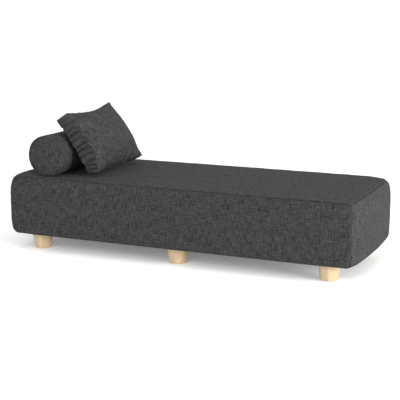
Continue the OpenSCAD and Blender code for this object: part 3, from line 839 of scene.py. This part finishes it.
def zip_pieces(prefix, place, length, body):
    """A woven tape with its two rows of stitches, and a coil chain, on the zip's own axes.

    The chain runs along Z and the tape's outer face is towards Y."""
    half = length / 2
    z = np.linspace(-half, half, round(length / 0.004) + 1)
    right = np.array([1.6, 2.6, 5, 8, 8.6, 9.4, 10, 12, 13.4, 14]) / 1000
    x = np.concatenate([-right[::-1], [0.0], right])
    xs, zs = np.meshgrid(x, z, indexing="ij")
    base = np.stack([xs, np.zeros_like(xs), zs], -1)
    ys = 0.00035 + 0.0006 * ripple(base, (0.02, 1, 0.035), 51) * smooth(0.004, 0.012, np.abs(xs))
    ys = ys - 0.00025 * bump(np.abs(xs) - 0.009, 0.0007)
    p = Patches()
    p.grid(np.stack([xs, ys, zs], -1), np.stack([xs, zs], -1), flip=True)
    tape = p.build(prefix + "_zip_woven_tape", place)
    modifier(tape, "SOLIDIFY", thickness=0.0005, offset=0)
    apply_all(tape)
    wear(tape, TAPE)
    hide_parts(prefix + "_zip_tape")
    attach(tape, body)
    # Stitches: short arched threads along both edges of the tape.
    points, faces = [], []

    def bead(centre, size, lean=0.0):
        """A small six-sided bar with drawn-in ends."""
        start = len(points)
        for k, (along, wide) in enumerate(((-1, 0.35), (-0.6, 1), (0.6, 1), (1, 0.35))):
            for j in range(6):
                a = math.pi / 3 * j
                q = np.array([wide * math.cos(a), wide * math.sin(a), along]) * size
                points.append((centre[0] + q[0] + lean * q[2], centre[1] + q[1], centre[2] + q[2]))
        faces.append([start + j for j in range(6)][::-1])
        faces.append([start + 18 + j for j in range(6)])
        for k in range(3):
            for j in range(6):
                i = start + 6 * k
                faces.append([i + j, i + (j + 1) % 6, i + 6 + (j + 1) % 6, i + 6 + j])

    def finish(name, material, node):
        me = bpy.data.meshes.new(name)
        me.from_pydata(points, [], faces)
        me.polygons.foreach_set("use_smooth", [True] * len(me.polygons))
        ob = bpy.data.objects.new(name, me)
        ob.matrix_world = place
        scene.collection.objects.link(ob)
        wear(ob, material)
        if node:
            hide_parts(node)
        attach(ob, body)

    for side in (-1, 1):
        for i in range(round(length / 0.0034)):
            bead((side * 0.009, 0.00062, -half + 0.0017 + 0.0034 * i), (0.00024, 0.0002, 0.0014), 0.06 * side)
    finish(prefix + "_zip_stitches", THREAD, None)
    points, faces = [], []
    for i in range(round(length / 0.0014)):
        side = 1 if i % 2 else -1
        zc = -half + 0.0007 + 0.0014 * i
        start = len(points)
        rows = ((-0.0023, 0.55), (-0.0017, 1.0), (0.0004, 1.0), (0.0011, 0.5))
        for xk, fat in rows:
            for j in range(6):
                a = math.pi / 3 * j
                points.append((side * xk, 0.0017 + 0.0011 * fat * math.cos(a),
                               zc + 0.00062 * fat * math.sin(a)))
        faces.append([start + j for j in range(6)])
        faces.append([start + 18 + j for j in range(6)])
        for k in range(3):
            for j in range(6):
                i0 = start + 6 * k
                faces.append([i0 + j, i0 + (j + 1) % 6, i0 + 6 + (j + 1) % 6, i0 + 6 + j])
    finish(prefix + "_zip_coil", COIL, prefix + "_zip_chain")


zip_turn = Matrix.Rotation(math.pi / 2, 4, "Y") @ Matrix.Rotation(math.pi / 2, 4, "X")
zip_pieces("bolster", Matrix.Translation(BOLSTER_AT) @ Matrix.Rotation(-ZIP_ANGLE, 4, "Y")
           @ Matrix.Translation((BOLSTER_R + 0.0002, 0, 0)) @ zip_turn, 0.46, "bolster")
zip_pieces("pillow", Matrix.Translation(PILLOW_AT) @ PILLOW_TURN.to_4x4() @ Matrix.Translation((0, W2, 0)),
           0.30, "pillow")

# ---- Dust cover ----


def dust_cover():
    """Thin black cloth stapled under the frame, sagging a little between the staples and the legs."""
    half = np.array([LENGTH / 2 - 0.02, DEPTH / 2 - 0.02])
    xs = np.linspace(-half[0], half[0], 197)
    ys = np.linspace(-half[1], half[1], 77)
    x, y = np.meshgrid(xs, ys, indexing="ij")
    inside = smooth(0.0, 0.10, 0.94 - np.abs(x)) * smooth(0.0, 0.10, 0.345 - np.abs(y))
    for lx in LEG_X:
        for ly in LEG_Y:
            inside = inside * smooth(0.065, 0.13, np.hypot(x - lx, y - ly))
    base = np.stack([x, y, np.zeros_like(x)], -1)
    waves = 0.0016 * ripple(base, (0.22, 0.16, 1), 31) + 0.0008 * ripple(base, (0.05, 0.05, 1), 32)
    sag = inside * (0.0035 + waves)
    z = LEG - 0.0006 - np.maximum(sag, 0)
    p = Patches()
    p.grid(np.stack([x, y, z], -1), np.stack([x, y], -1) + 5.0, flip=True)
    ob = p.build("dust_cover_cloth")
    modifier(ob, "SOLIDIFY", thickness=0.0004, offset=0)
    apply_all(ob)
    return ob


dust = dust_cover()
wear(dust, DUST)
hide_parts("dust_cover")
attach(dust, "daybed_base")

# ---- Felt glides ----

def felt_discs():
    """A pressed felt disc under each leg, worn round at its edge and a little uneven."""
    low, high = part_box("felt_glides")
    radius, thick = high[0] - LEG_X[-1], high[2] - low[2]
    rows = ((0.3, 0.0), (0.6, 0.0), (0.84, 0.01), (0.94, 0.05), (0.985, 0.2), (1.0, 0.45), (0.995, 0.8),
            (0.97, 1.0))  # shares of the radius and of the thickness
    around = 64
    rng = np.random.default_rng(61)
    points, faces = [], []
    for cx in LEG_X:
        for cy in LEG_Y:
            start = len(points)
            points.append((cx, cy, low[2]))
            for share, up in rows:
                for j in range(around):
                    a = 2 * math.pi * j / around
                    r = radius * share * (1 + 0.006 * rng.uniform(-1, 1))
                    points.append((cx + r * math.cos(a), cy + r * math.sin(a), low[2] + thick * up))
            ring = [start + 1 + j for j in range(around)]
            faces += [[start, ring[(j + 1) % around], ring[j]] for j in range(around)]
            for k in range(len(rows) - 1):
                low_ring, high_ring = ([v + around * i for v in ring] for i in (k, k + 1))
                for j in range(around):
                    after = (j + 1) % around
                    faces.append([low_ring[j], low_ring[after], high_ring[after], high_ring[j]])
            faces.append([v + around * (len(rows) - 1) for v in ring])
    me = bpy.data.meshes.new("felt_discs")
    me.from_pydata(points, [], faces)
    me.polygons.foreach_set("use_smooth", [True] * len(me.polygons))
    ob = bpy.data.objects.new("felt_discs", me)
    scene.collection.objects.link(ob)
    return ob


glides = felt_discs()
wear(glides, GLIDE_FELT)
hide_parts("felt_glides")
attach(glides, "daybed_base")

# ---- CAD nodes that show as they are ----
for name, material in {
    "frame_front_rail": FRAME_WOOD, "frame_back_rail": FRAME_WOOD, "frame_head_rail": FRAME_WOOD,
    "frame_foot_rail": FRAME_WOOD, "cross_rail_head": FRAME_WOOD, "cross_rail_centre": FRAME_WOOD,
    "cross_rail_foot": FRAME_WOOD, "frame_screws": ZINC, "spring_clips": ZINC, "dust_cover_staples": ZINC,
    "hanger_bolts": ZINC, "tee_nuts": ZINC, "zigzag_springs": WIRE, "spring_felt": FELT,
    "bolster_zip_slider": NICKEL, "bolster_zip_puller": NICKEL, "pillow_zip_slider": NICKEL,
    "pillow_zip_puller": NICKEL,
}.items():
    wear(nodes[name], material)
for side in ("front", "back"):
    for end in ("head", "centre", "foot"):
        wear(nodes[f"leg_{side}_{end}"], LEG_WOOD)
        wear(nodes[f"leg_block_{side}_{end}"], FRAME_WOOD)

# ---- Floor and light ----
me = bpy.data.meshes.new("floor")
FLOOR_Z, FLOOR_HALF = -0.0005, 250
corners = ((-1, -1), (1, -1), (1, 1), (-1, 1))
me.from_pydata([(x * FLOOR_HALF, y * FLOOR_HALF, FLOOR_Z) for x, y in corners], [], [(0, 1, 2, 3)])
floor = bpy.data.objects.new("floor", me)
scene.collection.objects.link(floor)
t = Tree("floor_paint")
t.set(Base_Color=rgb(0.90, 0.90, 0.90), Roughness=0.9, Specular_IOR_Level=0.0, Emission_Color=rgb(1, 1, 1),
      Emission_Strength=0.16)
floor.data.materials.append(t.material)

world = bpy.data.worlds.new("studio")
scene.world = world
world.use_nodes = True
world.node_tree.nodes["Background"].inputs[0].default_value = rgb(1, 1, 1)
world.node_tree.nodes["Background"].inputs[1].default_value = 0.95


def area_light(name, place, aim, size, watts):
    data = bpy.data.lights.new(name, "AREA")
    data.shape = "RECTANGLE"
    data.size, data.size_y = size
    data.energy = watts
    ob = bpy.data.objects.new(name, data)
    ob.location = place
    ob.rotation_euler = (Vector(aim) - Vector(place)).to_track_quat("-Z", "Y").to_euler()
    scene.collection.objects.link(ob)
    return ob


area_light("soft_box_foot", (9.0, -1.9, 2.2), (0, 0, 0.3), (4.6, 3.2), 1150)
area_light("soft_box_front", (0.2, -6.0, 2.9), (0, 0, 0.2), (4.6, 2.4), 155)
scene.view_settings.view_transform = "Standard"
